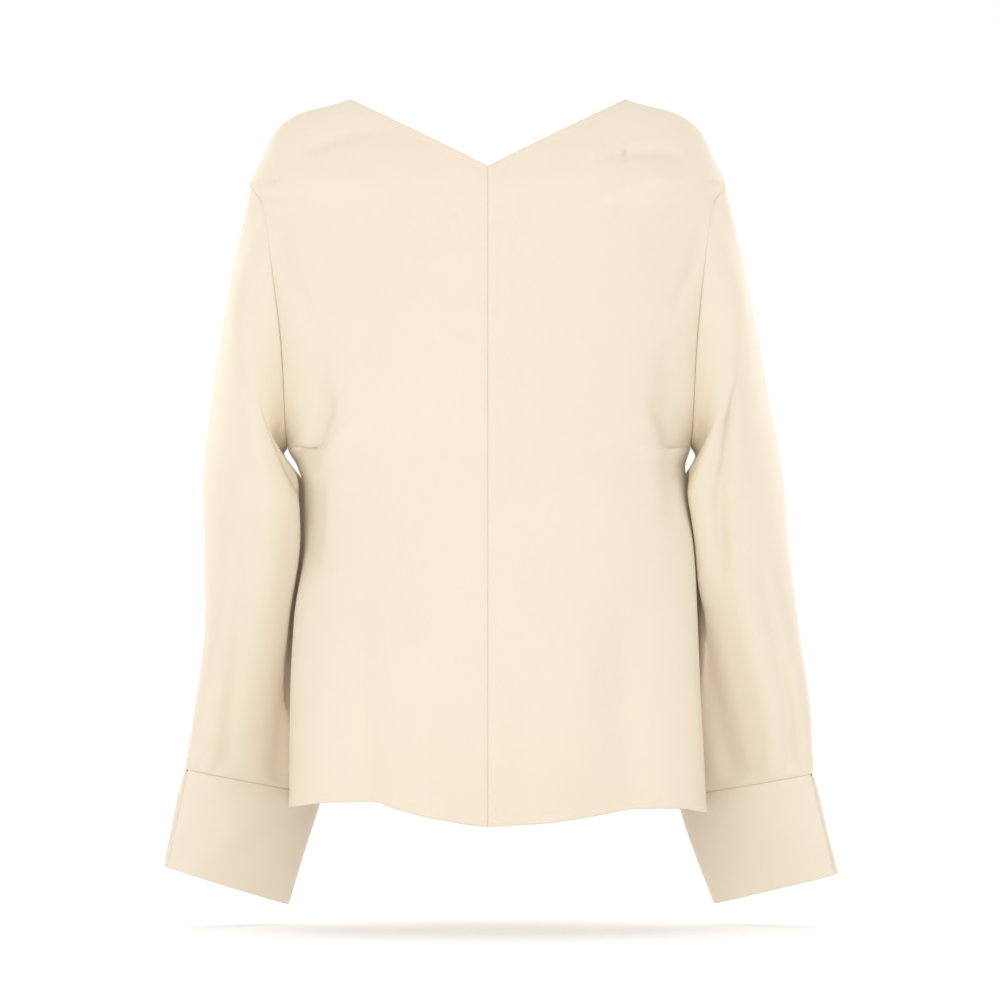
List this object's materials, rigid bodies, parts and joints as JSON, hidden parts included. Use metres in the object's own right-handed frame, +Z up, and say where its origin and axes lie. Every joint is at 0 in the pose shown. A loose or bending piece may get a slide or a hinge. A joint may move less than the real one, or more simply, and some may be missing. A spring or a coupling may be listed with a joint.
{
  "type": "blouse",
  "caption": "Long-sleeved V-neck blouse of thin cream silk, loose and straight, with a centre front seam, plain cuffs and a gently curved hem, filled out as worn",
  "frame": {"origin": "midway between the two neck points, on the line of the shoulders, where the wearer's shoulders carry the blouse", "axes": "+Z up, the front of the blouse faces -Y, the wearer's left side is at +X"},
  "size_m": [0.6055, 0.228, 0.7282],
  "materials": {
    "silk": "satin"
  },
  "bodies": {
    "root": {"front_right": "silk", "front_left": "silk", "back": "silk", "sleeve_right": "silk", "sleeve_left": "silk", "cuff_right": "silk", "cuff_left": "silk"}
  },
  "joints": []
}
